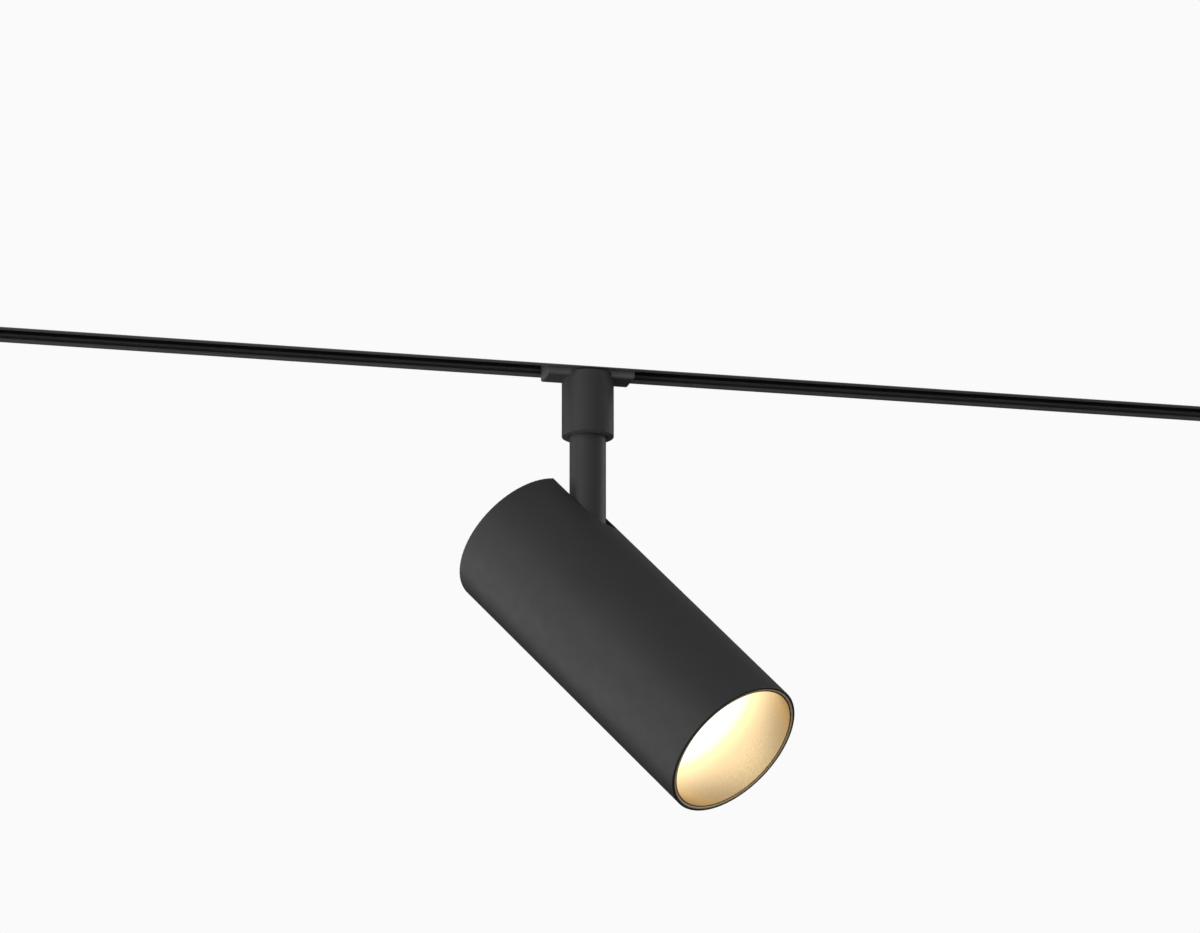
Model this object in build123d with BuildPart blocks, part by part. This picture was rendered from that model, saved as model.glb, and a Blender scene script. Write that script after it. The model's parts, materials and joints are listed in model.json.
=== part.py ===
from build123d import *
import os
from math import cos, radians, sin

os.makedirs("parts", exist_ok=True)

# Ceiling track with one cylindrical spotlight.
# Origin: on the track's top face, above the stem. +X runs along the track, +Z is up.
# All dimensions are in millimetres.

# How far a cutting shape reaches past what it cuts
cut_margin = 1

# Track
track_length = 650
track_width = 23
track_height = 23
track_wall = 1.5
track_web = 2
lip_width = 3.5
lip_thickness = 1
edge_round = 0.4
rib_depth = 0.6
rib_bottom = 2.6
rib_top = 3.7
mount_hole_spacing = 400
mount_hole_radius = 2.25
carrier_depth = 1.6
carrier_top = -5
strip_depth = 0.8
strip_height = 3
strip_groove_depth = 1
strip_z = -12

# Track ends
cap_thickness = 2
tongue_length = 12
tongue_width = 16.4
tongue_bottom = -18.5
tongue_top = -3
end_screw_radius = 1.5
end_screw_head_radius = 2.6
end_screw_length = 9
end_screw_inset = 6
feed_length = 64
feed_wall = 2
block_length = 22
block_width = 15.6
block_height = 12
terminal_pitch = 7
terminal_screw_radius = 1.8
terminal_screw_height = 1.2
blade_length = 48
blade_height = 2.6
blade_depth = 0.8
blade_overlap = 6

# Adapter
plate_length = 41.4
plate_width = 15.2
plate_drop = 3.2
plate_bevel = 0.6
adapter_wall = 1.5
adapter_floor = 2.8
adapter_split = -15
adapter_top = -6.5
corner_round = 0.8
lead_hole_radius = 6
rail_width = 2
rail_x = 16
rail_top = -21.8
latch_bottom = -21.7
latch_thickness = 1.2
latch_tip = 9.3
latch_tab_x = 13
latch_tab_width = 8
latch_gap = 0.2
latch_length = 35
latch_front = -5.8
latch_back = 3.2
latch_window_width = 6
latch_window_front = -4.8
latch_window_back = 2.4
latch_spring_depth = 0.5
latch_spring_length = 30
latch_spring_height = 2
board_thickness = 1.2
contact_x = 10
contact_width = 3.2
contact_thickness = 0.5
contact_foot = 2.6
contact_root = 5.6
contact_nose_radius = 0.6
contact_reach = 8.3
contact_window_width = 5
contact_window_height = 3.6

# Collar and pan bearing
collar_radius = 12.15
collar_top_gap = 0.9
collar_height = 30
collar_web = 3
collar_bore_radius = 10.2
collar_lip = 1.4
collar_lip_radius = 8.9
collar_round = 0.35
collar_screw_x = 9
collar_screw_radius = 1.25
collar_screw_length = 5.5
collar_screw_head_radius = 2.2
collar_screw_head = 1.4
bushing_height = 6
bearing_clearance = 0.05
washer_thickness = 1
washer_inner_radius = 8.65
washer_outer_radius = 9.8
wave_spring_thickness = 0.9
stop_radius = 8.5
stop_pin_radius = 1
stop_pin_depth = 3.7
stop_level = -36.5

# Stem
stem_radius = 8.5
stem_neck_radius = 7
stem_bore_radius = 5.5
stem_shoulder = -44.5
stem_top = -37
nut_radius = 9.7
nut_height = 5
stem_pin_top = -35
wire_radius = 1
adapter_wire_offset = 1.2
adapter_wire_bottom = -34
stem_wire_offset = 4
stem_wire_top = -35.5
pivot_drop = 47

# Head: length along its axis is measured from the rear end
head_radius = 35
head_wall = 2.05
head_length = 163.6
pan_angle = -45
tilt_angle = 45
slot_width = 18
pivot_setback = 28.8
pivot_offset = 24
rim_round = 0.35
pocket_floor = 15
bracket_wall = 2
bracket_bottom = 7
cap_recess = 1
rear_cap_thickness = 3
vent_count = 7
vent_pitch = 4.5
vent_length = 12
vent_width = 1.8
vent_centre_y = -17
fit_gap = 0.05
bracket_screw_x = 6
bracket_screw_y = 10.5
small_screw_radius = 1.5
small_screw_head_radius = 2.8
small_screw_head = 1.5
bracket_screw_length = 10
pin_radius = 2.5
pin_head_radius = 4.5
pin_head = 2.5
pin_nut_radius = 4.6
pin_nut = 4
eye_face = 7.4
eye_recess_radius = 7
pivot_washer_radius = 6.5
grommet_radius = 4
grommet_bore = 2.6
grommet_z = 33

# Frame inside the head
rod_radius = 3
rod_low_x = 24
rod_low_y = -11
rod_high_x = 20
rod_high_y = 17
rod_stud_length = 6
board_width = 52
board_start = 8
board_end = 62
board_top = -6.4
pcb_thickness = 1.6
transformer_size = (16, 18, 11)
transformer_z = 50
capacitor_radius = 5
capacitor_height = 12
capacitor_x = 18
capacitor_z = 50
coil_radius = 5
coil_bore = 2
coil_height = 8
coil_x = 19
coil_z = 20

# Heat sink and light engine
sink_start = 66
sink_base_start = 100
sink_end = 106
sink_core_radius = 10
fin_count = 20
fin_thickness = 1.6
boss_radius = 4.5
led_wire_y = -20
led_wire_x = 1.2
led_hole_radius = 2.8
pad_radius = 18
pad_thickness = 0.5
led_board_thickness = 1.6
emitter_radius = 8
emitter_height = 1
holder_radius = 18
holder_bore = 8.6
holder_height = 3
led_screw_offset = 13.5
led_screw_length = 7
reflector_throat = 10
reflector_mouth = 31.8
reflector_wall = 0.8
lens_start = 134.3
lens_thickness = 2
lens_radius = 32.6
gasket_thickness = 0.8
gasket_inner = 31.9
liner_wall = 0.6
liner_recess = 0.4

# Derived levels
underside = -track_height
plate_bottom = underside - plate_drop
floor_top = plate_bottom + adapter_floor
collar_top = underside - collar_top_gap
collar_bottom = collar_top - collar_height
bushing_bottom = collar_bottom + collar_lip
bushing_top = bushing_bottom + bushing_height
pivot_z = collar_bottom - pivot_drop
inner_half = track_width / 2 - track_wall
head_bore = head_radius - head_wall
board_top_z = adapter_split
cap_front = cap_recess + rear_cap_thickness
engine_start = sink_end + pad_thickness
emitter_start = engine_start + led_board_thickness
lens_end = lens_start + lens_thickness

# Head planes at the drawn aim: local x lies across the head, local y points to its slotted side
aim = Vector(
    cos(radians(tilt_angle)) * cos(radians(pan_angle)),
    cos(radians(tilt_angle)) * sin(radians(pan_angle)),
    -sin(radians(tilt_angle)),
)
across = Vector(-sin(radians(pan_angle)), cos(radians(pan_angle)), 0)
pivot_frame = Plane(origin=(0, 0, pivot_z), x_dir=across, z_dir=aim)
rear_centre = pivot_frame.from_local_coords(Vector(0, -pivot_offset, -pivot_setback))
rear = Plane(origin=rear_centre, x_dir=across, z_dir=aim)
slot_plane = Plane(origin=rear_centre, x_dir=across, z_dir=rear.y_dir)
pin_plane = Plane(origin=(0, 0, pivot_z), x_dir=aim, z_dir=across)

rod_places = [
    (-rod_low_x, rod_low_y),
    (rod_low_x, rod_low_y),
    (-rod_high_x, rod_high_y),
    (rod_high_x, rod_high_y),
]
bracket_screw_places = [(-bracket_screw_x, bracket_screw_y), (bracket_screw_x, bracket_screw_y)]
led_screw_places = [(-led_screw_offset, 0), (led_screw_offset, 0)]


def finish(piece, name):
    """Names a finished piece and writes it."""
    piece.part.label = name
    export_step(piece.part, f"parts/{name}.step")


def slot_outline(half_width, start):
    """U-shaped outline, open at the rear and round at the pivot, for a sketch on slot_plane."""
    with BuildLine() as outline:
        Polyline(
            (-half_width, -pivot_setback),
            (-half_width, -start),
            (half_width, -start),
            (half_width, -pivot_setback),
        )
        ThreePointArc(
            (half_width, -pivot_setback),
            (0, -pivot_setback - half_width),
            (-half_width, -pivot_setback),
        )
    return make_face(outline.wires()[0])


# ---------------------------------------------------------------- track

with BuildPart() as track_profile:
    with BuildSketch(Plane.YZ.offset(-track_length / 2)):
        with Locations((0, underside / 2)):
            Rectangle(track_width, track_height)
        with Locations((0, (underside + lip_thickness - track_web) / 2)):
            Rectangle(2 * inner_half, track_height - track_web - lip_thickness, mode=Mode.SUBTRACT)
        with Locations((0, underside + lip_thickness / 2)):
            Rectangle(track_width - 2 * lip_width, lip_thickness, mode=Mode.SUBTRACT)
        for side in (-1, 1):
            with Locations((side * (inner_half - rib_depth / 2), underside + (rib_bottom + rib_top) / 2)):
                Rectangle(rib_depth, rib_top - rib_bottom)
    extrude(amount=track_length)
    long_edges = track_profile.edges().filter_by(Axis.X).group_by(Axis.Z)[0]
    fillet(long_edges, radius=edge_round)
    with BuildSketch(Plane.XY):
        with GridLocations(mount_hole_spacing, 0, 2, 1):
            Circle(mount_hole_radius)
    extrude(amount=-track_web, mode=Mode.SUBTRACT)
    with BuildSketch(Plane.XY):
        with GridLocations(track_length - 2 * end_screw_inset, 0, 2, 1):
            Circle(end_screw_head_radius)
    extrude(amount=-track_web, mode=Mode.SUBTRACT)
finish(track_profile, "track_profile")


def carrier(side, name):
    """Plastic profile along one inner wall, with a groove for its conductor strip."""
    carrier_bottom = underside + rib_top
    with BuildPart() as piece:
        with BuildSketch(Plane.YZ.offset(-track_length / 2)):
            with Locations((side * (inner_half - carrier_depth / 2), (carrier_bottom + carrier_top) / 2)):
                Rectangle(carrier_depth, carrier_top - carrier_bottom)
            groove_y = side * (inner_half - carrier_depth + strip_groove_depth / 2)
            with Locations((groove_y, strip_z)):
                Rectangle(strip_groove_depth, strip_height, mode=Mode.SUBTRACT)
        extrude(amount=track_length)
    finish(piece, name)


def strip(side, name):
    """Copper conductor lying in the carrier's groove."""
    with BuildPart() as piece:
        with BuildSketch(Plane.YZ.offset(-track_length / 2)):
            strip_y = side * (inner_half - carrier_depth + strip_groove_depth - strip_depth / 2)
            with Locations((strip_y, strip_z)):
                Rectangle(strip_depth, strip_height)
        extrude(amount=track_length)
    finish(piece, name)


carrier(-1, "carrier_near")
carrier(1, "carrier_far")
strip(-1, "strip_line")
strip(1, "strip_neutral")

with BuildPart() as dead_end_cap:
    with BuildSketch(Plane.YZ.offset(track_length / 2)):
        with Locations((0, underside / 2)):
            RectangleRounded(track_width, track_height, corner_round)
    extrude(amount=cap_thickness)
    with BuildSketch(Plane.YZ.offset(track_length / 2 - tongue_length)):
        with Locations((0, (tongue_bottom + tongue_top) / 2)):
            Rectangle(tongue_width, tongue_top - tongue_bottom)
    extrude(amount=tongue_length)
    with BuildSketch(Plane.XY.offset(tongue_top)):
        with Locations((track_length / 2 - end_screw_inset, 0)):
            Circle(end_screw_radius)
    extrude(amount=-end_screw_length, mode=Mode.SUBTRACT)
finish(dead_end_cap, "dead_end_cap")

with BuildPart() as feed_housing:
    with BuildSketch(Plane.YZ.offset(-track_length / 2 - feed_length)):
        with Locations((0, underside / 2)):
            Rectangle(track_width, track_height)
    extrude(amount=feed_length)
    fillet(feed_housing.edges().filter_by(Axis.Z).group_by(Axis.X)[0], radius=2 * corner_round)
    with BuildSketch(Plane.XY):
        with Locations((-(track_length + feed_length) / 2, 0)):
            Rectangle(feed_length - 2 * feed_wall, track_width - 2 * feed_wall)
    extrude(amount=underside + feed_wall, mode=Mode.SUBTRACT)
    with BuildSketch(Plane.YZ.offset(-track_length / 2)):
        with Locations((0, (tongue_bottom + tongue_top) / 2)):
            Rectangle(tongue_width, tongue_top - tongue_bottom)
    extrude(amount=tongue_length)
    with BuildSketch(Plane.XY.offset(tongue_top)):
        with Locations((-track_length / 2 + end_screw_inset, 0)):
            Circle(end_screw_radius)
    extrude(amount=-end_screw_length, mode=Mode.SUBTRACT)
    with BuildSketch(Plane.YZ.offset(-track_length / 2 - feed_wall)):
        for side in (-1, 1):
            with Locations((side * tongue_width / 2, strip_z)):
                Rectangle(blade_depth, blade_height)
    extrude(amount=feed_wall + tongue_length, mode=Mode.SUBTRACT)
finish(feed_housing, "feed_housing")

with BuildPart() as feed_blades:
    with BuildSketch(Plane.YZ.offset(-track_length / 2 + tongue_length + blade_overlap - blade_length)):
        for side in (-1, 1):
            with Locations((side * tongue_width / 2, strip_z)):
                Rectangle(blade_depth, blade_height)
    extrude(amount=blade_length)
finish(feed_blades, "feed_blades")

block_x = -track_length / 2 - feed_length / 2
block_bottom = underside + feed_wall

with BuildPart() as feed_terminal_block:
    with BuildSketch(Plane.XY.offset(block_bottom)):
        with Locations((block_x, 0)):
            RectangleRounded(block_length, block_width, corner_round)
    extrude(amount=block_height)
    with BuildSketch(Plane.XY.offset(block_bottom + block_height)):
        with Locations((block_x, 0)):
            with GridLocations(terminal_pitch, 0, 3, 1):
                Circle(terminal_screw_radius)
    extrude(amount=-terminal_screw_height, mode=Mode.SUBTRACT)
    with BuildSketch(Plane.XZ.offset(block_width / 2)):
        with Locations((block_x, block_bottom + block_height / 2)):
            with GridLocations(terminal_pitch, 0, 3, 1):
                Circle(terminal_screw_radius)
    extrude(amount=-block_width / 3, mode=Mode.SUBTRACT)
finish(feed_terminal_block, "feed_terminal_block")

with BuildPart() as feed_terminal_screws:
    with BuildSketch(Plane.XY.offset(block_bottom + block_height - terminal_screw_height)):
        with Locations((block_x, 0)):
            with GridLocations(terminal_pitch, 0, 3, 1):
                Circle(terminal_screw_radius)
                Rectangle(2 * terminal_screw_radius - corner_round, corner_round, mode=Mode.SUBTRACT)
    extrude(amount=terminal_screw_height)
finish(feed_terminal_screws, "feed_terminal_screws")

with BuildPart() as end_screws:
    with BuildSketch(Plane.XY.offset(-track_web)):
        with GridLocations(track_length - 2 * end_screw_inset, 0, 2, 1):
            Circle(end_screw_head_radius)
    extrude(amount=track_web)
    with BuildSketch(Plane.XY.offset(-track_web)):
        with GridLocations(track_length - 2 * end_screw_inset, 0, 2, 1):
            Circle(end_screw_radius)
    extrude(amount=tongue_top + track_web - end_screw_length)
finish(end_screws, "end_screws")

# -------------------------------------------------------------- adapter

cavity_length = plate_length - 2 * adapter_wall
cavity_width = plate_width - 2 * adapter_wall

with BuildPart() as adapter_housing:
    with BuildSketch(Plane.XY.offset(plate_bottom)):
        Rectangle(plate_length, plate_width)
    extrude(amount=adapter_split - plate_bottom)
    chamfer(adapter_housing.faces().sort_by(Axis.Z)[0].edges(), length=plate_bevel)
    with BuildSketch(Plane.XY.offset(floor_top)):
        Rectangle(cavity_length, cavity_width)
    extrude(amount=adapter_split - floor_top, mode=Mode.SUBTRACT)
    with BuildSketch(Plane.XY.offset(floor_top)):
        with GridLocations(2 * rail_x, 0, 2, 1):
            Rectangle(rail_width, cavity_width)
    extrude(amount=rail_top - floor_top)
    hook_centre = (latch_tip + cavity_width / 2) / 2
    with BuildSketch(Plane.XY.offset(latch_bottom)):
        with Locations((-latch_tab_x, hook_centre), (latch_tab_x, hook_centre)):
            Rectangle(latch_tab_width, latch_tip - cavity_width / 2)
    extrude(amount=latch_thickness)
    with BuildSketch(Plane.XY.offset(latch_bottom - latch_gap)):
        with Locations((-latch_tab_x, -plate_width / 2), (latch_tab_x, -plate_width / 2)):
            Rectangle(latch_tab_width + 2 * latch_gap, 2 * adapter_wall)
    extrude(amount=latch_thickness + 2 * latch_gap, mode=Mode.SUBTRACT)
    with BuildSketch(Plane.XY.offset(plate_bottom)):
        Circle(lead_hole_radius)
        with GridLocations(2 * collar_screw_x, 0, 2, 1):
            Circle(collar_screw_radius)
    extrude(amount=adapter_floor, mode=Mode.SUBTRACT)
finish(adapter_housing, "adapter_housing")

with BuildPart() as adapter_cover:
    with BuildSketch(Plane.XY.offset(adapter_split)):
        Rectangle(plate_length, plate_width)
    extrude(amount=adapter_top - adapter_split)
    chamfer(adapter_cover.faces().sort_by(Axis.Z)[-1].edges(), length=corner_round)
    with BuildSketch(Plane.XY.offset(adapter_split)):
        Rectangle(cavity_length, cavity_width)
    extrude(amount=adapter_top - adapter_wall - adapter_split, mode=Mode.SUBTRACT)
    with BuildSketch(Plane.XZ.offset(-plate_width / 2)):
        with Locations((contact_x, strip_z)):
            Rectangle(contact_window_width, contact_window_height)
    extrude(amount=plate_width, mode=Mode.SUBTRACT)
finish(adapter_cover, "adapter_cover")

with BuildPart() as contact_board:
    with BuildSketch(Plane.XY.offset(board_top_z - board_thickness)):
        Rectangle(cavity_length, cavity_width)
        with Locations((0, -adapter_wire_offset), (0, adapter_wire_offset)):
            Circle(wire_radius, mode=Mode.SUBTRACT)
    extrude(amount=board_thickness)
finish(contact_board, "contact_board")


def contact(side, name):
    """Brass leaf: a foot on the board, a riser, and an arm with a round nose at the strip."""
    with BuildPart() as piece:
        with BuildSketch(Plane.YZ.offset(contact_x - contact_width / 2)):
            with Locations((side * (contact_root - contact_foot / 2), board_top_z + contact_thickness / 2)):
                Rectangle(contact_foot, contact_thickness)
            riser = strip_z + contact_thickness / 2 - board_top_z
            with Locations((side * (contact_root - contact_thickness / 2), board_top_z + riser / 2)):
                Rectangle(contact_thickness, riser)
            arm_end = contact_reach - contact_nose_radius
            arm_start = contact_root - contact_thickness
            with Locations((side * (arm_start + arm_end) / 2, strip_z)):
                Rectangle(arm_end - arm_start, contact_thickness)
            with Locations((side * arm_end, strip_z)):
                Circle(contact_nose_radius)
        extrude(amount=contact_width)
    finish(piece, name)


contact(-1, "contact_line")
contact(1, "contact_neutral")

with BuildPart() as latch_slide:
    with BuildSketch(Plane.XY.offset(latch_bottom)):
        with Locations((0, (latch_front + latch_back) / 2)):
            Rectangle(latch_length, latch_back - latch_front)
        with Locations((0, (latch_window_front + latch_window_back) / 2)):
            Rectangle(latch_window_width, latch_window_back - latch_window_front, mode=Mode.SUBTRACT)
        tab_centre = (latch_front - latch_tip) / 2
        with Locations((-latch_tab_x, tab_centre), (latch_tab_x, tab_centre)):
            Rectangle(latch_tab_width, latch_tip + latch_front)
    extrude(amount=latch_thickness)
    tips = latch_slide.faces().sort_by(Axis.Y)[0:2]
    chamfer(tips.edges().filter_by(Axis.X), length=latch_thickness / 3)
finish(latch_slide, "latch_slide")

with BuildPart() as latch_spring:
    with BuildSketch(Plane.XY.offset(latch_bottom)):
        with Locations((0, (cavity_width - latch_spring_depth) / 2)):
            Rectangle(latch_spring_length, latch_spring_depth)
    extrude(amount=latch_spring_height)
finish(latch_spring, "latch_spring")

with BuildPart() as collar:
    with BuildSketch(Plane.XY.offset(collar_bottom)):
        Circle(collar_radius)
    extrude(amount=collar_height)
    fillet(collar.edges().group_by(Axis.Z)[0], radius=collar_round)
    fillet(collar.edges().group_by(Axis.Z)[-1], radius=collar_round)
    with BuildSketch(Plane.XY.offset(plate_bottom)):
        Rectangle(3 * collar_radius, plate_width)
    extrude(amount=collar_top - plate_bottom, mode=Mode.SUBTRACT)
    with BuildSketch(Plane.XY.offset(bushing_bottom)):
        Circle(collar_bore_radius)
    extrude(amount=plate_bottom - collar_web - bushing_bottom, mode=Mode.SUBTRACT)
    with BuildSketch(Plane.XY.offset(collar_bottom)):
        Circle(collar_lip_radius)
    extrude(amount=collar_lip, mode=Mode.SUBTRACT)
    with BuildSketch(Plane.XY.offset(plate_bottom)):
        Circle(lead_hole_radius)
    extrude(amount=-collar_web, mode=Mode.SUBTRACT)
    with BuildSketch(Plane.XY.offset(plate_bottom)):
        with GridLocations(2 * collar_screw_x, 0, 2, 1):
            Circle(collar_screw_radius)
    extrude(amount=adapter_floor - collar_screw_length, mode=Mode.SUBTRACT)
    with BuildSketch(Plane.YZ.offset(-stop_radius)):
        with Locations((0, stop_level)):
            Circle(stop_pin_radius)
    extrude(amount=-stop_pin_depth + stop_pin_radius, mode=Mode.SUBTRACT)
finish(collar, "collar")

with BuildPart() as collar_screws:
    with BuildSketch(Plane.XY.offset(floor_top - collar_screw_length)):
        with GridLocations(2 * collar_screw_x, 0, 2, 1):
            Circle(collar_screw_radius)
    extrude(amount=collar_screw_length)
    with BuildSketch(Plane.XY.offset(floor_top)):
        with GridLocations(2 * collar_screw_x, 0, 2, 1):
            Circle(collar_screw_head_radius)
            RegularPolygon(collar_screw_radius, 6, mode=Mode.SUBTRACT)
    extrude(amount=collar_screw_head)
finish(collar_screws, "collar_screws")

with BuildPart() as pan_bushing:
    with BuildSketch(Plane.XY.offset(bushing_bottom)):
        Circle(collar_bore_radius)
        Circle(stem_radius + bearing_clearance, mode=Mode.SUBTRACT)
    extrude(amount=bushing_height)
finish(pan_bushing, "pan_bushing")

with BuildPart() as pan_washer:
    with BuildSketch(Plane.XY.offset(bushing_top)):
        Circle(washer_outer_radius)
        Circle(washer_inner_radius, mode=Mode.SUBTRACT)
    extrude(amount=washer_thickness)
finish(pan_washer, "pan_washer")

with BuildPart() as pan_wave_spring:
    with BuildSketch(Plane.XY.offset(bushing_top + washer_thickness)):
        Circle(washer_outer_radius)
        Circle(washer_inner_radius, mode=Mode.SUBTRACT)
    extrude(amount=wave_spring_thickness)
finish(pan_wave_spring, "pan_wave_spring")

with BuildPart() as pan_stop_pin:
    with BuildSketch(Plane.YZ.offset(-stop_radius + stop_pin_radius)):
        with Locations((0, stop_level)):
            Circle(stop_pin_radius)
    extrude(amount=-stop_pin_depth)
finish(pan_stop_pin, "pan_stop_pin")

with BuildPart() as adapter_lead:
    with BuildSketch(Plane.XY.offset(adapter_wire_bottom)):
        with Locations((0, -adapter_wire_offset), (0, adapter_wire_offset)):
            Circle(wire_radius)
    extrude(amount=board_top_z - adapter_wire_bottom)
finish(adapter_lead, "adapter_lead")

# ----------------------------------------------------------------- stem

with BuildPart() as stem_tube:
    with BuildSketch(Plane.XY.offset(pivot_z)):
        Circle(stem_radius)
    extrude(amount=stem_shoulder - pivot_z)
    with BuildSketch(Plane.XY.offset(stem_shoulder)):
        Circle(stem_neck_radius)
    extrude(amount=stem_top - stem_shoulder)
    with Locations((0, 0, pivot_z)):
        Sphere(stem_radius)
    with BuildSketch(Plane.XY.offset(pivot_z - stem_radius)):
        Circle(stem_bore_radius)
    extrude(amount=stem_top - pivot_z + stem_radius, mode=Mode.SUBTRACT)
    with BuildSketch(pin_plane):
        Circle(pin_radius + bearing_clearance)
    extrude(amount=2 * stem_radius, both=True, mode=Mode.SUBTRACT)
    for side in (-1, 1):
        with BuildSketch(pin_plane.offset(side * eye_face)):
            Circle(eye_recess_radius)
        extrude(amount=side * stem_radius, mode=Mode.SUBTRACT)
finish(stem_tube, "stem_tube")

with BuildPart() as stem_nut:
    with BuildSketch(Plane.XY.offset(stem_shoulder)):
        Circle(nut_radius)
        Circle(stem_neck_radius, mode=Mode.SUBTRACT)
    extrude(amount=nut_height)
    with BuildSketch(Plane.XY.offset(stem_shoulder)):
        with Locations((stop_radius, 0)):
            Circle(stop_pin_radius)
    extrude(amount=nut_height, mode=Mode.SUBTRACT)
finish(stem_nut, "stem_nut")

with BuildPart() as stem_stop_pin:
    with BuildSketch(Plane.XY.offset(stem_shoulder)):
        with Locations((stop_radius, 0)):
            Circle(stop_pin_radius)
    extrude(amount=stem_pin_top - stem_shoulder)
finish(stem_stop_pin, "stem_stop_pin")

with BuildPart() as stem_lead:
    with BuildSketch(Plane(origin=(0, 0, pivot_z - stem_bore_radius), x_dir=across, z_dir=(0, 0, 1))):
        with Locations((0, -stem_wire_offset), (0, stem_wire_offset)):
            Circle(wire_radius)
    extrude(amount=stem_wire_top - pivot_z + stem_bore_radius)
finish(stem_lead, "stem_lead")

# ----------------------------------------------------------------- head

with BuildPart() as head_tube:
    with BuildSketch(rear):
        Circle(head_radius)
        Circle(head_bore, mode=Mode.SUBTRACT)
    extrude(amount=head_length)
    rims = head_tube.edges().filter_by(GeomType.CIRCLE)
    fillet(rims, radius=rim_round)
    with BuildSketch(slot_plane):
        add(slot_outline(slot_width / 2, -cut_margin))
    extrude(amount=head_radius + cut_margin, mode=Mode.SUBTRACT)
finish(head_tube, "head_tube")

with BuildPart() as rear_cap:
    with BuildSketch(rear.offset(cap_recess)):
        Circle(head_bore - fit_gap)
        with Locations((0, pocket_floor + head_radius / 2)):
            Rectangle(slot_width, head_radius, mode=Mode.SUBTRACT)
        with Locations(*bracket_screw_places, *rod_places):
            Circle(small_screw_radius, mode=Mode.SUBTRACT)
        with Locations((0, vent_centre_y)):
            with GridLocations(vent_pitch, 0, vent_count, 1):
                SlotOverall(vent_length, vent_width, rotation=90, mode=Mode.SUBTRACT)
    extrude(amount=rear_cap_thickness)
finish(rear_cap, "rear_cap")

with BuildPart() as pivot_bracket:
    with BuildSketch(slot_plane.offset(bracket_bottom)):
        add(slot_outline(slot_width / 2 + bracket_wall, cap_front))
    extrude(amount=head_radius - bracket_bottom)
    with BuildSketch(rear):
        Circle(head_bore - fit_gap)
    extrude(amount=head_length, mode=Mode.INTERSECT)
    with BuildSketch(slot_plane.offset(pocket_floor)):
        add(slot_outline(slot_width / 2, 0))
    extrude(amount=head_radius, mode=Mode.SUBTRACT)
    with BuildSketch(pin_plane):
        Circle(pin_radius)
    extrude(amount=slot_width, both=True, mode=Mode.SUBTRACT)
    with BuildSketch(rear.offset(cap_front)):
        with Locations(*bracket_screw_places):
            Circle(small_screw_radius)
    extrude(amount=bracket_screw_length - rear_cap_thickness, mode=Mode.SUBTRACT)
    with BuildSketch(pin_plane):
        Circle(pivot_washer_radius + latch_gap)
    extrude(amount=slot_width / 2, both=True, mode=Mode.SUBTRACT)
    with BuildSketch(slot_plane.offset(bracket_bottom)):
        with Locations((0, -grommet_z)):
            Circle(grommet_radius)
    extrude(amount=pocket_floor - bracket_bottom, mode=Mode.SUBTRACT)
finish(pivot_bracket, "pivot_bracket")

with BuildPart() as lead_grommet:
    with BuildSketch(slot_plane.offset(bracket_bottom)):
        with Locations((0, -grommet_z)):
            Circle(grommet_radius)
            Circle(grommet_bore, mode=Mode.SUBTRACT)
    extrude(amount=pocket_floor - bracket_bottom)
finish(lead_grommet, "lead_grommet")


def axial_screws(places, length, name):
    """Cap screws along the head's axis: heads on the rear cap's outer face, hex sockets."""
    with BuildPart() as piece:
        with BuildSketch(rear.offset(cap_recess)):
            with Locations(*places):
                Circle(small_screw_radius)
        extrude(amount=length)
        with BuildSketch(rear.offset(cap_recess)):
            with Locations(*places):
                Circle(small_screw_head_radius)
                RegularPolygon(small_screw_radius, 6, mode=Mode.SUBTRACT)
        extrude(amount=-small_screw_head)
    finish(piece, name)


axial_screws(bracket_screw_places, bracket_screw_length, "bracket_screws")
axial_screws(rod_places, rear_cap_thickness, "rear_cap_screws")

with BuildPart() as tie_rods:
    with BuildSketch(rear.offset(cap_front)):
        with Locations(*rod_places):
            Circle(rod_radius)
    extrude(amount=sink_start - cap_front)
    with BuildSketch(rear.offset(sink_start)):
        with Locations(*rod_places):
            Circle(small_screw_radius)
    extrude(amount=rod_stud_length)
finish(tie_rods, "tie_rods")

bracket_face = slot_width / 2 + bracket_wall

with BuildPart() as pivot_pin:
    with BuildSketch(pin_plane.offset(-bracket_face)):
        Circle(pin_radius)
    extrude(amount=2 * bracket_face + pin_nut)
    with BuildSketch(pin_plane.offset(-bracket_face)):
        Circle(pin_head_radius)
    extrude(amount=-pin_head)
finish(pivot_pin, "pivot_pin")

with BuildPart() as pivot_nut:
    with BuildSketch(pin_plane.offset(bracket_face)):
        RegularPolygon(pin_nut_radius, 6)
        Circle(pin_radius, mode=Mode.SUBTRACT)
    extrude(amount=pin_nut)
finish(pivot_nut, "pivot_nut")

with BuildPart() as pivot_washers:
    for side in (-1, 1):
        with BuildSketch(pin_plane.offset(side * slot_width / 2)):
            Circle(pivot_washer_radius)
            Circle(pin_radius, mode=Mode.SUBTRACT)
        extrude(amount=side * (eye_face + bearing_clearance - slot_width / 2))
finish(pivot_washers, "pivot_washers")

# ------------------------------------------------ driver inside the head

with BuildPart() as driver_board:
    with BuildSketch(slot_plane.offset(board_top - pcb_thickness)):
        with Locations((0, -(board_start + board_end) / 2)):
            RectangleRounded(board_width, board_end - board_start, corner_round)
    extrude(amount=pcb_thickness)
finish(driver_board, "driver_board")

with BuildPart() as driver_transformer:
    with BuildSketch(slot_plane.offset(board_top)):
        with Locations((0, -transformer_z)):
            RectangleRounded(transformer_size[0], transformer_size[1], corner_round)
    extrude(amount=transformer_size[2])
    chamfer(driver_transformer.faces().sort_by(Axis(rear_centre, rear.y_dir))[-1].edges(), length=edge_round)
finish(driver_transformer, "driver_transformer")

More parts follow.
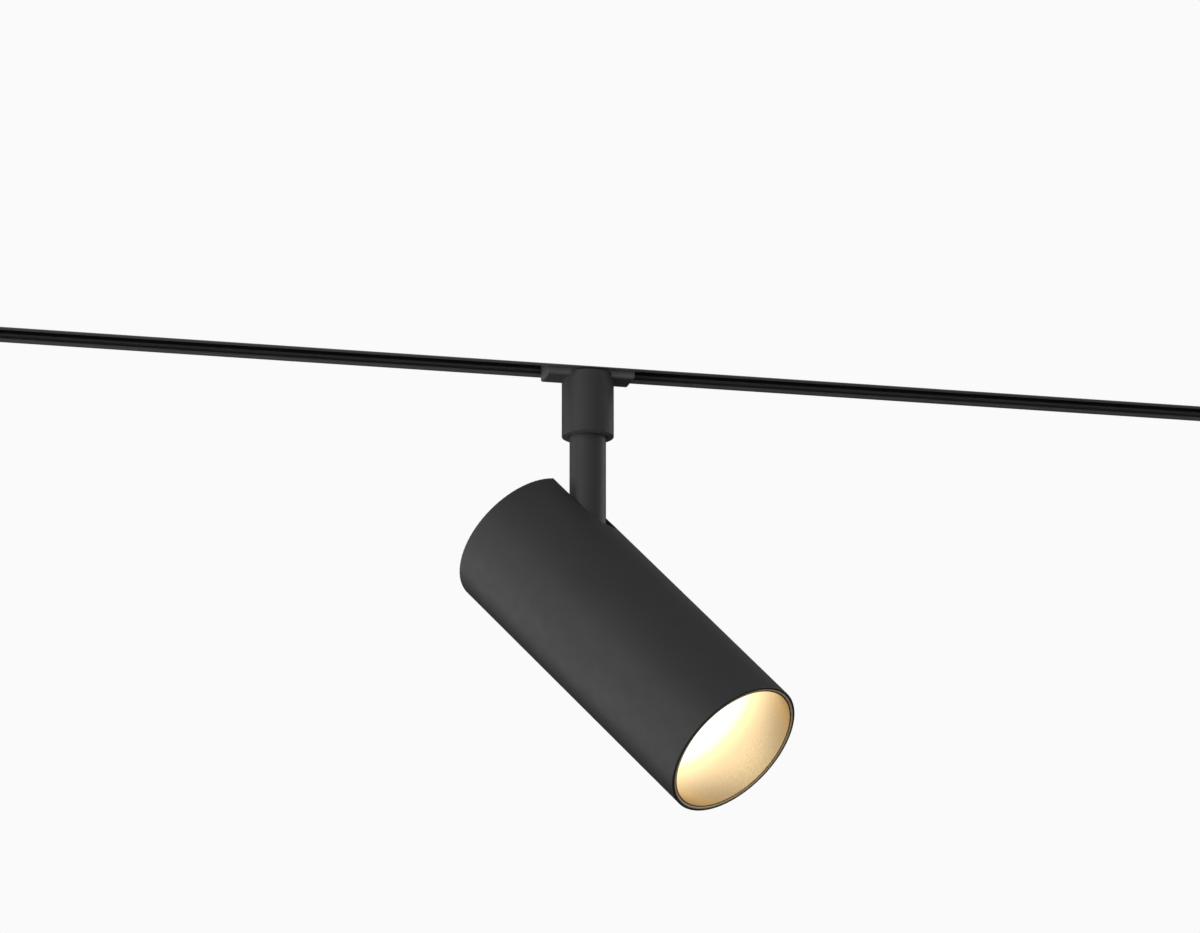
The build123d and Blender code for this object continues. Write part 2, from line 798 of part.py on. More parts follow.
with BuildPart() as driver_capacitors:
    with BuildSketch(slot_plane.offset(board_top)):
        with Locations((-capacitor_x, -capacitor_z), (capacitor_x, -capacitor_z)):
            Circle(capacitor_radius)
    extrude(amount=capacitor_height)
    cans = driver_capacitors.faces().group_by(Axis(rear_centre, rear.y_dir))[-1]
    fillet(cans.edges(), radius=corner_round)
finish(driver_capacitors, "driver_capacitors")

with BuildPart() as driver_coils:
    with BuildSketch(slot_plane.offset(board_top)):
        with Locations((-coil_x, -coil_z), (coil_x, -coil_z)):
            Circle(coil_radius)
            Circle(coil_bore, mode=Mode.SUBTRACT)
    extrude(amount=coil_height)
finish(driver_coils, "driver_coils")

with BuildPart() as head_lead:
    with BuildSketch(slot_plane.offset(board_top)):
        with Locations((-adapter_wire_offset, -grommet_z), (adapter_wire_offset, -grommet_z)):
            Circle(wire_radius)
    extrude(amount=pocket_floor - board_top)
finish(head_lead, "head_lead")

# -------------------------------------------------- heat sink and optics

with BuildPart() as heat_sink:
    with BuildSketch(rear.offset(sink_base_start)):
        Circle(head_bore - fit_gap)
    extrude(amount=sink_end - sink_base_start)
    with BuildSketch(rear.offset(sink_start)):
        Circle(sink_core_radius)
        fin_length = head_bore - fit_gap - sink_core_radius / 2
        with PolarLocations(sink_core_radius / 2, fin_count, start_angle=180 / fin_count):
            Rectangle(fin_length, fin_thickness, align=(Align.MIN, Align.CENTER))
        with Locations(*rod_places):
            Circle(boss_radius)
    extrude(amount=sink_base_start - sink_start)
    with BuildSketch(rear):
        Circle(head_bore - fit_gap)
    extrude(amount=head_length, mode=Mode.INTERSECT)
    with BuildSketch(rear.offset(sink_start)):
        with Locations(*rod_places):
            Circle(small_screw_radius)
    extrude(amount=rod_stud_length, mode=Mode.SUBTRACT)
    with BuildSketch(rear.offset(sink_base_start)):
        with Locations((0, led_wire_y)):
            Circle(led_hole_radius)
    extrude(amount=sink_end - sink_base_start, mode=Mode.SUBTRACT)
    with BuildSketch(rear.offset(sink_end)):
        with Locations(*led_screw_places):
            Circle(small_screw_radius)
    extrude(amount=-(led_screw_length - pad_thickness - led_board_thickness), mode=Mode.SUBTRACT)
finish(heat_sink, "heat_sink")

with BuildPart() as thermal_pad:
    with BuildSketch(rear.offset(sink_end)):
        Circle(pad_radius)
        with Locations(*led_screw_places):
            Circle(small_screw_radius, mode=Mode.SUBTRACT)
    extrude(amount=pad_thickness)
finish(thermal_pad, "thermal_pad")

with BuildPart() as led_board:
    with BuildSketch(rear.offset(engine_start)):
        Circle(pad_radius)
        with Locations(*led_screw_places):
            Circle(small_screw_radius, mode=Mode.SUBTRACT)
    extrude(amount=led_board_thickness)
finish(led_board, "led_board")

with BuildPart() as led_emitter:
    with BuildSketch(rear.offset(emitter_start)):
        Circle(emitter_radius)
    extrude(amount=emitter_height)
    fillet(led_emitter.faces().sort_by(Axis(rear_centre, aim))[-1].edges(), radius=emitter_height / 2)
finish(led_emitter, "led_emitter")

with BuildPart() as led_holder:
    with BuildSketch(rear.offset(emitter_start)):
        Circle(holder_radius)
        Circle(holder_bore, mode=Mode.SUBTRACT)
        with Locations(*led_screw_places):
            Circle(small_screw_radius, mode=Mode.SUBTRACT)
    extrude(amount=holder_height)
    with BuildSketch(rear.offset(emitter_start + holder_height)):
        with Locations(*led_screw_places):
            Circle(small_screw_head_radius)
    extrude(amount=-small_screw_head, mode=Mode.SUBTRACT)
finish(led_holder, "led_holder")

with BuildPart() as led_screws:
    with BuildSketch(rear.offset(emitter_start + holder_height - small_screw_head)):
        with Locations(*led_screw_places):
            Circle(small_screw_radius)
    extrude(amount=-(led_screw_length + holder_height - small_screw_head))
    with BuildSketch(rear.offset(emitter_start + holder_height)):
        with Locations(*led_screw_places):
            Circle(small_screw_head_radius)
            RegularPolygon(small_screw_radius, 6, mode=Mode.SUBTRACT)
    extrude(amount=-small_screw_head)
finish(led_screws, "led_screws")

with BuildPart() as led_lead:
    with BuildSketch(rear.offset(board_end)):
        with Locations((-led_wire_x, led_wire_y), (led_wire_x, led_wire_y)):
            Circle(wire_radius)
    extrude(amount=emitter_start - board_end)
finish(led_lead, "led_lead")

reflector_start = emitter_start + holder_height

with BuildPart() as reflector:
    with BuildSketch(Plane(origin=rear_centre, x_dir=across, z_dir=-rear.y_dir)):
        with BuildLine():
            Polyline(
                (reflector_throat, reflector_start),
                (reflector_mouth - reflector_wall, lens_start),
                (reflector_mouth, lens_start),
                (reflector_throat + reflector_wall, reflector_start),
                close=True,
            )
        make_face()
    revolve(axis=Axis(rear_centre, aim))
finish(reflector, "reflector")

with BuildPart() as diffuser_lens:
    with BuildSketch(rear.offset(lens_start)):
        Circle(lens_radius)
    extrude(amount=lens_thickness)
finish(diffuser_lens, "diffuser_lens")

with BuildPart() as lens_gasket:
    with BuildSketch(rear.offset(lens_start)):
        Circle(head_bore - fit_gap)
        Circle(gasket_inner, mode=Mode.SUBTRACT)
    extrude(amount=-gasket_thickness)
finish(lens_gasket, "lens_gasket")

with BuildPart() as baffle_liner:
    with BuildSketch(rear.offset(lens_end)):
        Circle(head_bore - fit_gap)
        Circle(head_bore - fit_gap - liner_wall, mode=Mode.SUBTRACT)
    extrude(amount=head_length - liner_recess - lens_end)
finish(baffle_liner, "baffle_liner")
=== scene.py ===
"""Looks for a ceiling track with one cylindrical spotlight. Lengths are in metres."""
import json
import math

import bpy
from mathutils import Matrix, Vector


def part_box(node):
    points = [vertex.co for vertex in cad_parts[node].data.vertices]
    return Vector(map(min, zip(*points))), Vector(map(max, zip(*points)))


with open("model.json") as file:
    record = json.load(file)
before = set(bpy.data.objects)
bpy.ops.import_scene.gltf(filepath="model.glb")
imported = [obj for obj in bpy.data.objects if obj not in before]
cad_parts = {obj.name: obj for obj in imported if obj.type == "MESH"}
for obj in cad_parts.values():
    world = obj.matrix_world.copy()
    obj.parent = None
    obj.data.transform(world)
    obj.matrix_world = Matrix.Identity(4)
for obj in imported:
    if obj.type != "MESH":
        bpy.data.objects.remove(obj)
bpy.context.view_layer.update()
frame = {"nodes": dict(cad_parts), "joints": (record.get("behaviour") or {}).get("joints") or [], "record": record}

MM = 0.001
NODES = frame["nodes"]
JOINTS = {joint["name"]: joint for joint in frame["joints"]}

# ------------------------------------------------------------ places read from the frame
track_low, track_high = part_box("track_profile")
feed_low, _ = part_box("feed_housing")
_, cap_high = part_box("dead_end_cap")
collar_low, collar_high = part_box("collar")
pivot = Vector(JOINTS["tilt"]["pos_m"])

# The head's own axes at rest: it points 45 degrees down and 45 degrees off the track.
AIM = Vector((0.5, -0.5, -math.sqrt(0.5)))
ACROSS = Vector((math.sqrt(0.5), math.sqrt(0.5), 0.0))
RIDGE = AIM.cross(ACROSS)
PIVOT_SETBACK = 28.8 * MM
PIVOT_OFFSET = 24 * MM
HEAD_LENGTH = 163.6 * MM
MOUTH = pivot + AIM * (HEAD_LENGTH - PIVOT_SETBACK) - RIDGE * PIVOT_OFFSET
LENS_DEPTH = 27.3 * MM
LENS_RADIUS = 32.3 * MM

# ------------------------------------------------------------ camera
CAMERA_OFFSET = Vector((-0.6969, -3.0561, -0.9105))
CAMERA_AZIMUTH = math.radians(-12.95)
CAMERA_PITCH = math.radians(15.96)
LENS = 210.5
SENSOR = 36.0


def add_camera():
    """A long lens below the lamp, looking up at it."""
    data = bpy.data.cameras.new("photo_camera")
    data.lens = LENS
    data.sensor_width = SENSOR
    data.clip_end = 50
    camera = bpy.data.objects.new("photo_camera", data)
    bpy.context.scene.collection.objects.link(camera)
    collar_centre = (collar_low + collar_high) / 2
    camera.location = Vector((collar_centre.x, collar_centre.y, collar_low.z)) + CAMERA_OFFSET
    camera.rotation_euler = (math.pi / 2 + CAMERA_PITCH, 0, CAMERA_AZIMUTH)
    bpy.context.scene.camera = camera


# ------------------------------------------------------------ materials
LENS_STOPS = [
    (0.0, (1.0, 0.94, 0.80)),
    (0.3, (0.72, 0.69, 0.61)),
    (0.6, (0.42, 0.41, 0.38)),
    (0.8, (0.36, 0.35, 0.32)),
    (1.0, (0.34, 0.29, 0.18)),
]
LENS_STRENGTH = 3.0
# Painted light on the gold lining: near the lens it glows in place of the lens's light falling on it.
PAINTED_SPILL_COLOR = (1.0, 0.74, 0.40)
PAINTED_SPILL_FALL = 2.3
PAINTED_SPILL_STRENGTH = 1.25
RIB_HALF = 10.05 * MM
# The track's inner ribs are painted paler: painted light on them.
RIB_LIGHT_ZONE = (("Y", -RIB_HALF, RIB_HALF), ("Z", track_low.z + 2.55 * MM, track_low.z + 3.75 * MM))
RIB_PAINTED_LIGHT = (0.20, 0.20, 0.203)
# The track's lips are painted paler: a painted highlight along them.
LIP_HIGHLIGHT_ZONE = (("Z", track_low.z - 0.5 * MM, track_low.z + 1.2 * MM),)
LIP_PAINTED_HIGHLIGHT = (0.24, 0.24, 0.243)
# The rim's inner edge is painted bright gold: the lining's gold, as if the wall were thinner, made bright with
# painted light from the lens.
RIM_DEPTH = 0.4 * MM
RIM_RADIUS = 33.75 * MM
RIM_LINING_AND_LIGHT_COLOR = (0.9, 0.70, 0.42)
# The collar's underside is painted paler: painted light from below.
UNDERSIDE_LIGHT_ZONE = (("Z", collar_low.z - 0.05 * MM, collar_low.z + 0.05 * MM),)
UNDERSIDE_PAINTED_LIGHT = (0.20, 0.20, 0.202)


class Shader:
    """A small helper that builds one node material."""

    def __init__(self, name, color, roughness, metallic=0.0, specular=0.5):
        self.material = bpy.data.materials.new(name)
        self.material.use_nodes = True
        self.nodes = self.material.node_tree.nodes
        self.links = self.material.node_tree.links
        self.shader = self.nodes["Principled BSDF"]
        self.shader.inputs["Base Color"].default_value = (*color, 1)
        self.shader.inputs["Roughness"].default_value = roughness
        self.shader.inputs["Metallic"].default_value = metallic
        self.shader.inputs["Specular IOR Level"].default_value = specular
        self.place = self.nodes.new("ShaderNodeTexCoord").outputs["Object"]
        self.bumped = None

    def stretch(self, scale, turn=(0, 0, 0)):
        """Object coordinates, turned and then scaled along each axis."""
        mapping = self.nodes.new("ShaderNodeMapping")
        mapping.inputs["Scale"].default_value = scale
        mapping.inputs["Rotation"].default_value = turn
        self.links.new(self.place, mapping.inputs["Vector"])
        return mapping.outputs["Vector"]

    def noise(self, scale, detail=3.0, roughness=0.55, vector=None):
        node = self.nodes.new("ShaderNodeTexNoise")
        node.inputs["Scale"].default_value = scale
        node.inputs["Detail"].default_value = detail
        node.inputs["Roughness"].default_value = roughness
        self.links.new(vector or self.place, node.inputs["Vector"])
        return node.outputs["Fac"]

    def cells(self, scale, vector=None):
        node = self.nodes.new("ShaderNodeTexVoronoi")
        node.inputs["Scale"].default_value = scale
        self.links.new(vector or self.place, node.inputs["Vector"])
        return node.outputs["Distance"]

    def span(self, value, low, high, start=0.3, end=0.7):
        """Maps a texture value from start..end onto low..high."""
        node = self.nodes.new("ShaderNodeMapRange")
        node.inputs["From Min"].default_value = start
        node.inputs["From Max"].default_value = end
        node.inputs["To Min"].default_value = low
        node.inputs["To Max"].default_value = high
        self.links.new(value, node.inputs["Value"])
        return node.outputs["Result"]

    def link(self, output, name):
        """Feeds an output into one of the shader's sockets."""
        self.links.new(output, self.shader.inputs[name])

    def ramp(self, value, dark, light, start=0.3, end=0.7):
        """A colour that runs from dark to light with a texture value."""
        node = self.nodes.new("ShaderNodeValToRGB")
        node.color_ramp.elements[0].position = start
        node.color_ramp.elements[0].color = (*dark, 1)
        node.color_ramp.elements[1].position = end
        node.color_ramp.elements[1].color = (*light, 1)
        self.links.new(value, node.inputs["Fac"])
        return node.outputs["Color"]

    def tint(self, value, dark, light, start=0.3, end=0.7):
        """Base colour that runs from dark to light with a texture value."""
        self.link(self.ramp(value, dark, light, start, end), "Base Color")

    def blend(self, factor, first, second_color):
        """The first colour, which gives way to a plain second one where the factor is 1."""
        node = self.nodes.new("ShaderNodeMix")
        node.data_type = "RGBA"
        sockets = [socket for socket in node.inputs if socket.type == "RGBA"]
        self.links.new(factor, node.inputs[0])
        self.links.new(first, sockets[0])
        sockets[1].default_value = (*second_color, 1)
        return [socket for socket in node.outputs if socket.type == "RGBA"][0]

    def calculate(self, operation, first, second):
        """One arithmetic step on two values, each a number or an output."""
        node = self.nodes.new("ShaderNodeMath")
        node.operation = operation
        for socket, value in zip(node.inputs, (first, second)):
            if isinstance(value, (int, float)):
                socket.default_value = value
            else:
                self.links.new(value, socket)
        return node.outputs["Value"]

    def inside(self, zone):
        """1 where a point lies within a box of (axis, low, high) limits, 0 elsewhere."""
        split = self.nodes.new("ShaderNodeSeparateXYZ")
        self.links.new(self.place, split.inputs["Vector"])
        result = 1.0
        for axis, low, high in zone:
            above = self.calculate("GREATER_THAN", split.outputs[axis], low)
            below = self.calculate("LESS_THAN", split.outputs[axis], high)
            result = self.calculate("MULTIPLY", result, self.calculate("MULTIPLY", above, below))
        return result

    def from_point(self, origin):
        """Each point's offset from a fixed point of the head."""
        node = self.nodes.new("ShaderNodeVectorMath")
        node.operation = "SUBTRACT"
        node.inputs[1].default_value = origin
        self.links.new(self.place, node.inputs[0])
        return node.outputs["Vector"]

    def along(self, offset, axis):
        """How far an offset reaches along an axis."""
        node = self.nodes.new("ShaderNodeVectorMath")
        node.operation = "DOT_PRODUCT"
        node.inputs[1].default_value = axis
        self.links.new(offset, node.inputs[0])
        return node.outputs["Value"]

    def away(self, offset, axis):
        """How far an offset reaches away from an axis."""
        crossed = self.nodes.new("ShaderNodeVectorMath")
        crossed.operation = "CROSS_PRODUCT"
        crossed.inputs[1].default_value = axis
        self.links.new(offset, crossed.inputs[0])
        node = self.nodes.new("ShaderNodeVectorMath")
        node.operation = "LENGTH"
        self.links.new(crossed.outputs["Vector"], node.inputs[0])
        return node.outputs["Value"]

    def glow(self, value, stops, strength):
        """Light given off, through stops of position and colour as the value goes from 0 to 1."""
        ramp = self.nodes.new("ShaderNodeValToRGB")
        elements = ramp.color_ramp.elements
        while len(elements) < len(stops):
            elements.new(1.0)
        for element, (position, color) in zip(elements, stops):
            element.position = position
            element.color = (*color, 1)
        self.links.new(value, ramp.inputs["Fac"])
        self.link(ramp.outputs["Color"], "Emission Color")
        self.shader.inputs["Emission Strength"].default_value = strength

    def rough(self, value, low, high):
        self.link(self.span(value, low, high), "Roughness")

    def bump(self, value, height, strength=1.0):
        """Adds a relief of this height to those already there."""
        node = self.nodes.new("ShaderNodeBump")
        node.inputs["Distance"].default_value = height
        node.inputs["Strength"].default_value = strength
        self.links.new(value, node.inputs["Height"])
        if self.bumped:
            self.links.new(self.bumped, node.inputs["Normal"])
        self.bumped = node.outputs["Normal"]
        self.link(self.bumped, "Normal")


def scaled(color, factor):
    return tuple(channel * factor for channel in color)


def powder_coat_with_painted_light(name, color, roughness=0.46, grain=2600):
    """Satin powder coat: fine orange peel and faint cloudiness.

    Its rim's inner edge is painted bright gold: the lining's gold carried over the wall, made as bright as the
    lens-lit lining with painted light. The collar's underside is painted paler as painted light from below.
    """
    made = Shader(name, color, roughness, specular=0.42)
    cloud = made.ramp(made.noise(28, detail=2), scaled(color, 0.94), scaled(color, 1.06))
    offset = made.from_point(MOUTH)
    front = made.calculate("GREATER_THAN", made.along(offset, AIM), -RIM_DEPTH)
    inner = made.calculate("LESS_THAN", made.away(offset, AIM), RIM_RADIUS)
    # Painted light: the rim's inner edge turns bright gold, as bright as the lens-lit lining.
    with_rim_light = made.blend(made.calculate("MULTIPLY", front, inner), cloud, RIM_LINING_AND_LIGHT_COLOR)
    # Painted light: the collar's underside is paler.
    made.link(made.blend(made.inside(UNDERSIDE_LIGHT_ZONE), with_rim_light, UNDERSIDE_PAINTED_LIGHT), "Base Color")
    made.rough(made.noise(160, detail=4), roughness - 0.04, roughness + 0.05)
    made.bump(made.noise(grain, detail=2), 0.00002, 0.35)
    made.bump(made.noise(420, detail=1), 0.00003, 0.10)
    return made.material


def extruded_paint_with_painted_light(name, color, roughness=0.44):
    """Painted extrusion: powder coat over faint die lines, with painted light: the inner ribs are painted paler
    and the lips carry a painted highlight.
    """
    made = Shader(name, color, roughness, specular=0.45)
    lines = made.noise(1, detail=4, vector=made.stretch((6, 1400, 1400)))
    painted = made.ramp(made.noise(24, detail=2), scaled(color, 0.93), scaled(color, 1.07))
    # Painted light: the inner ribs are paler.
    with_rib_light = made.blend(made.inside(RIB_LIGHT_ZONE), painted, RIB_PAINTED_LIGHT)
    # Painted highlight: the lips are paler.
    made.link(made.blend(made.inside(LIP_HIGHLIGHT_ZONE), with_rib_light, LIP_PAINTED_HIGHLIGHT), "Base Color")
    made.rough(lines, roughness - 0.05, roughness + 0.06)
    made.bump(lines, 0.00002, 0.2)
    made.bump(made.noise(2600, detail=2), 0.00002, 0.25)
    return made.material


def moulded_plastic(name, color, roughness=0.55, grain=1900, relief=0.00003):
    """Moulded plastic with a spark-eroded texture."""
    made = Shader(name, color, roughness, specular=0.4)
    made.tint(made.noise(40, detail=3), scaled(color, 0.9), scaled(color, 1.1))
    made.rough(made.noise(300, detail=3), roughness - 0.06, roughness + 0.06)
    made.bump(made.cells(grain), relief, 0.25)
    return made.material


def plated_steel(name, color=(0.56, 0.56, 0.55), roughness=0.3):
    """Zinc-plated steel: bright, with cloudy passivation and small tool marks."""
    made = Shader(name, color, roughness, metallic=1.0)
    made.tint(made.noise(260, detail=4), scaled(color, 0.8), scaled(color, 1.1))
    made.rough(made.noise(900, detail=3), roughness - 0.08, roughness + 0.12)
    made.bump(made.noise(1, detail=3, vector=made.stretch((3000, 3000, 500))), 0.00001, 0.3)
    return made.material


def cast_metal(name, color=(0.66, 0.66, 0.67), roughness=0.55, metallic=0.3):
    """Die-cast aluminium: fine pits and a soft bloom."""
    made = Shader(name, color, roughness, metallic=metallic)
    made.tint(made.noise(180, detail=4), scaled(color, 0.85), scaled(color, 1.08))
    made.rough(made.noise(500, detail=3), roughness - 0.07, roughness + 0.1)
    made.bump(made.noise(1400, detail=4), 0.00004, 0.4)
    return made.material


def soft_metal(name, color, roughness=0.28):
    """Brass and copper: warm metal with slight tarnish."""
    made = Shader(name, color, roughness, metallic=1.0)
    made.tint(made.noise(140, detail=5), scaled(color, 0.72), color)
    made.rough(made.noise(600, detail=3), roughness - 0.06, roughness + 0.14)
    made.bump(made.noise(1, detail=3, vector=made.stretch((80, 2200, 2200))), 0.00001, 0.25)
    return made.material


def gold_finish_with_painted_light(name, color=(0.385, 0.305, 0.195)):
    """Gold lining of the mouth: satin metallic paint with a sandy grain; near the lens it glows with painted light
    that stands in for the lens's light falling on it.
    """
    made = Shader(name, color, 0.3, metallic=1.0)
    made.tint(made.noise(3200, detail=3), scaled(color, 0.86), scaled(color, 1.12), 0.35, 0.65)
    made.rough(made.noise(900, detail=3), 0.26, 0.36)
    made.bump(made.noise(2400, detail=3), 0.00003, 0.5)
    # Painted light: the lining glows more and more towards the lens.
    depth = made.along(made.from_point(MOUTH), -AIM)
    spill_near_lens = made.calculate("POWER", made.span(depth, 0, 1, 0, LENS_DEPTH), PAINTED_SPILL_FALL)
    made.glow(spill_near_lens, [(0, (0, 0, 0)), (1, PAINTED_SPILL_COLOR)], PAINTED_SPILL_STRENGTH)
    return made.material


def circuit_board(name, color=(0.012, 0.10, 0.045)):
    """Solder mask over copper traces."""
    made = Shader(name, color, 0.32, specular=0.5)
    traces = made.cells(260)
    made.tint(traces, scaled(color, 1.9), color, 0.04, 0.1)
    made.rough(made.noise(300, detail=2), 0.27, 0.38)
    made.bump(traces, 0.00003, 0.4)
    return made.material


def opal_light(name, color):
    """The lit opal disc at the back of the mouth: brightest in the middle, warm at its edge."""
    made = Shader(name, color, 0.35)
    made.tint(made.noise(90, detail=2), scaled(color, 0.96), color)
    made.rough(made.noise(500, detail=3), 0.3, 0.42)
    made.bump(made.cells(900), 0.00004, 0.3)
    radius = made.away(made.from_point(MOUTH), AIM)
    made.glow(made.span(radius, 0, 1, 0, LENS_RADIUS), LENS_STOPS, LENS_STRENGTH)
    return made.material


def mirror_coat(name):
    """Vacuum-metallised reflector with small facets."""
    made = Shader(name, (0.88, 0.88, 0.86), 0.08, metallic=1.0)
    made.rough(made.noise(500, detail=2), 0.05, 0.14)
    made.bump(made.cells(350), 0.0001, 0.4)
    return made.material


def slot_materials():
    """One material for each of the record's slots."""
    return {
        "black_paint": powder_coat_with_painted_light("black_paint", (0.040, 0.040, 0.041)),
        "track_paint": extruded_paint_with_painted_light("track_paint", (0.085, 0.085, 0.087)),
        "black_plastic": moulded_plastic("black_plastic", (0.16, 0.16, 0.162)),
        "insulator": moulded_plastic("insulator", (0.020, 0.020, 0.021), 0.5),
        "copper": soft_metal("copper", (0.72, 0.36, 0.20)),
        "brass": soft_metal("brass", (0.76, 0.56, 0.26)),
        "steel": plated_steel("steel"),
        "cast_aluminium": cast_metal("cast_aluminium"),
        "sink_aluminium": cast_metal("sink_aluminium", (0.62, 0.62, 0.63), 0.36, 0.85),
        "nylon": moulded_plastic("nylon", (0.72, 0.70, 0.62), 0.45),
        "circuit_board": circuit_board("circuit_board"),
        "component_black": moulded_plastic("component_black", (0.03, 0.03, 0.033), 0.48),
        "component_sleeve": moulded_plastic("component_sleeve", (0.03, 0.04, 0.12), 0.25),
        "silicone_grey": moulded_plastic("silicone_grey", (0.42, 0.43, 0.45), 0.7),
        "black_rubber": moulded_plastic("black_rubber", (0.018, 0.018, 0.018), 0.7),
        "wire": moulded_plastic("wire", (0.42, 0.03, 0.02), 0.4),
        "led_white": moulded_plastic("led_white", (0.8, 0.8, 0.77), 0.35),
        "phosphor": moulded_plastic("phosphor", (0.85, 0.6, 0.12), 0.4),
        "mirror_coat": mirror_coat("mirror_coat"),
        "diffuser": opal_light("diffuser", (0.5, 0.48, 0.43)),
        "gold_paint": gold_finish_with_painted_light("gold_paint"),
    }


def dress_nodes(materials):
    """Gives every carried-over CAD node its slot's material."""
    for subpart in frame["record"]["subparts"]:
        node = NODES[subpart["node"]]
        node.data.materials.clear()
        node.data.materials.append(materials[subpart["material_slot"]])


# ------------------------------------------------------------ stage
CEILING_LIFT = 0.4 * MM
ROOM = 40.0
FLOOR_LEVEL = -4.5
PALE = 0.956
WORLD_FRONT = 0.76
WORLD_BACK = 0.05
FRONT_SPAN = (1.0, -0.6)
WORLD_BELOW = 0.12
BELOW_SPAN = (-0.5, 0.1)
WORLD_ABOVE = 0.45
ABOVE_SPAN = (0.35, 0.95)
CARD_PLACE = (34, 16)
CARD_EDGE = (0.78, 0.97)
CARD_DIM = 0.42
FLOOR_GLOW = 0.70
# Name, azimuth and elevation in degrees, width and height in metres, radiance
SOFT_BOXES = [
    ("left_wide", -75, 6, (3.2, 1.4), 0.75),
    ("left_key", -126, -5, (1.7, 1.1), 1.25),
    ("left_low", -80, -36, (1.4, 0.8), 0.9),
    ("right_fill", 100, 14, (1.2, 1.0), 1.3),
    ("back_high", -165, 55, (1.4, 1.4), 0.8),
]


def stage_object(name, verts, faces, material):
    """A piece of the room that only the camera sees: it neither shades nor lights the object."""
    mesh = bpy.data.meshes.new(name)
    mesh.from_pydata(verts, [], faces)
    mesh.materials.append(material)
    piece = bpy.data.objects.new(name, mesh)
    piece.visible_shadow = False
    piece.visible_diffuse = False
    piece.visible_glossy = False
    piece.visible_transmission = False
    bpy.context.scene.collection.objects.link(piece)


def floor_material():
    """Plain pale floor paint, lit evenly."""
    made = Shader("floor_paint", (0.82, 0.82, 0.81), 0.8)
    made.tint(made.noise(2, detail=2), (0.80, 0.80, 0.79), (0.84, 0.84, 0.83))
    made.shader.inputs["Emission Color"].default_value = (1, 1, 1, 1)
    made.shader.inputs["Emission Strength"].default_value = FLOOR_GLOW
    return made.material


def ceiling_material():
    """Plain pale light seen from below, nothing from above."""
    material = bpy.data.materials.new("ceiling_paint")
    material.use_nodes = True
    nodes, links = material.node_tree.nodes, material.node_tree.links
    nodes.clear()
    glow = nodes.new("ShaderNodeEmission")
    glow.inputs["Color"].default_value = (PALE, PALE, PALE, 1)
    clear = nodes.new("ShaderNodeBsdfTransparent")
    side = nodes.new("ShaderNodeNewGeometry")
    mix = nodes.new("ShaderNodeMixShader")
    out = nodes.new("ShaderNodeOutputMaterial")
    links.new(side.outputs["Backfacing"], mix.inputs["Fac"])
    links.new(glow.outputs["Emission"], mix.inputs[1])
    links.new(clear.outputs["BSDF"], mix.inputs[2])
    links.new(mix.outputs["Shader"], out.inputs["Surface"])
    return material


def add_ceiling():
    """The ceiling that the track is let into, with a slot of the track's outline."""
    z = track_low.z + CEILING_LIFT
    xs = (-ROOM, feed_low.x, cap_high.x, ROOM)
    ys = (-ROOM, track_low.y, track_high.y, ROOM)
    verts = [(x, y, z) for y in ys for x in xs]
    faces = []
    for row in range(3):
        for column in range(3):
            if row == 1 and column == 1:
                continue
            corner = row * 4 + column
            faces.append((corner, corner + 4, corner + 5, corner + 1))
    stage_object("ceiling", verts, faces, ceiling_material())


def add_floor():
    """A plain floor far below the lamp."""
    verts = [(x, y, FLOOR_LEVEL) for y in (-ROOM, ROOM) for x in (-ROOM, ROOM)]
    stage_object("floor", verts, [(0, 1, 3, 2)], floor_material())


def heading(azimuth, elevation):
    """Unit vector towards a direction: azimuth 0 is in front of the object, 90 at its right."""
    azimuth, elevation = math.radians(azimuth), math.radians(elevation)
    return Vector((
        math.sin(azimuth) * math.cos(elevation),
        -math.cos(azimuth) * math.cos(elevation),
        math.sin(elevation),
    ))


def soft_box(name, azimuth, elevation, size, radiance, distance=2.0):
    """A rectangular soft light that faces the lamp from that direction."""
    towards = heading(azimuth, elevation)
    data = bpy.data.lights.new(name, "AREA")
    data.shape = "RECTANGLE"
    data.size, data.size_y = size
    data.energy = radiance * math.pi * size[0] * size[1]
    lamp = bpy.data.objects.new(name, data)
    lamp.location = pivot + towards * distance
    lamp.rotation_euler = towards.to_track_quat("Z", "Y").to_euler()
    bpy.context.scene.collection.objects.link(lamp)


def world_span(nodes, links, value, limits, results):
    """Maps a value from its limits onto the results, held at both ends."""
    node = nodes.new("ShaderNodeMapRange")
    node.inputs["From Min"].default_value, node.inputs["From Max"].default_value = limits
    node.inputs["To Min"].default_value, node.inputs["To Max"].default_value = results
    links.new(value, node.inputs["Value"])
    return node.outputs["Result"]


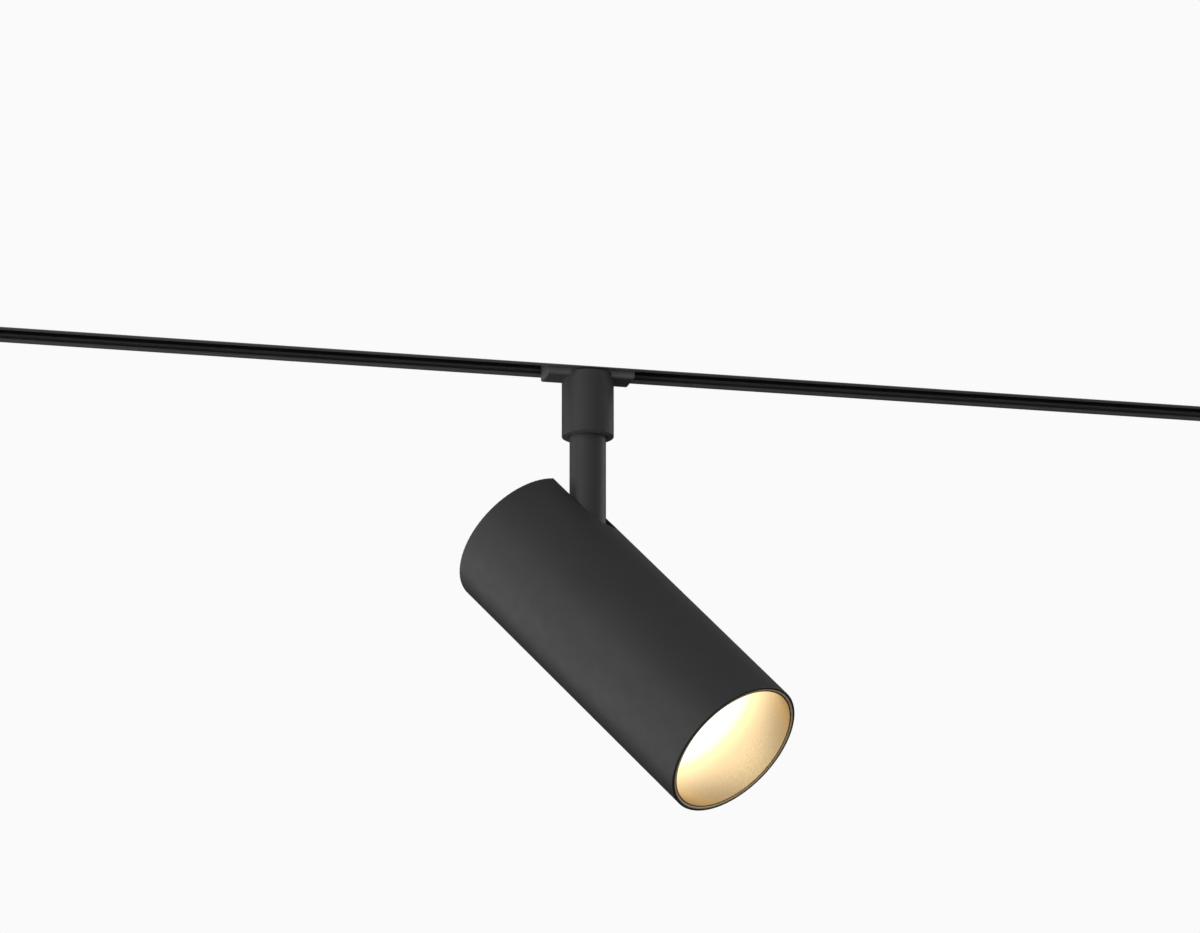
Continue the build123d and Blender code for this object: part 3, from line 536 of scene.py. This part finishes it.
def world_product(nodes, links, first, second):
    """Multiplies two values of the world's light."""
    node = nodes.new("ShaderNodeMath")
    node.operation = "MULTIPLY"
    links.new(first, node.inputs[0])
    links.new(second, node.inputs[1])
    return node.outputs["Value"]


def add_world():
    """A pale room: dimmer behind, below and above the object, with a dark card at its right.

    The camera sees it as one plain pale background.
    """
    world = bpy.data.worlds.new("studio")
    world.use_nodes = True
    bpy.context.scene.world = world
    nodes, links = world.node_tree.nodes, world.node_tree.links
    nodes["Background"].inputs["Color"].default_value = (1, 1, 1, 1)
    place = nodes.new("ShaderNodeTexCoord").outputs["Generated"]
    parts = nodes.new("ShaderNodeSeparateXYZ")
    links.new(place, parts.inputs["Vector"])
    card = nodes.new("ShaderNodeVectorMath")
    card.operation = "DOT_PRODUCT"
    card.inputs[1].default_value = heading(*CARD_PLACE)
    links.new(place, card.inputs[0])
    front = world_span(nodes, links, parts.outputs["Y"], FRONT_SPAN, (WORLD_BACK, WORLD_FRONT))
    below = world_span(nodes, links, parts.outputs["Z"], BELOW_SPAN, (WORLD_BELOW, 1.0))
    above = world_span(nodes, links, parts.outputs["Z"], ABOVE_SPAN, (1.0, WORLD_ABOVE))
    beside = world_span(nodes, links, card.outputs["Value"], CARD_EDGE, (1.0, CARD_DIM))
    light = front
    for shade in (below, above, beside):
        light = world_product(nodes, links, light, shade)
    seen = nodes.new("ShaderNodeLightPath")
    pick = nodes.new("ShaderNodeMix")
    links.new(seen.outputs["Is Camera Ray"], pick.inputs["Factor"])
    links.new(light, pick.inputs["A"])
    pick.inputs["B"].default_value = PALE
    links.new(pick.outputs["Result"], nodes["Background"].inputs["Strength"])


def add_light():
    """The room's own light, with soft boxes at the left, at the right and high behind."""
    add_world()
    for box in SOFT_BOXES:
        soft_box(*box)
    bpy.context.scene.view_settings.view_transform = "Standard"
    bpy.context.scene.view_settings.look = "None"


# ------------------------------------------------------------ build
add_camera()
materials = slot_materials()
dress_nodes(materials)
add_floor()
add_ceiling()
add_light()
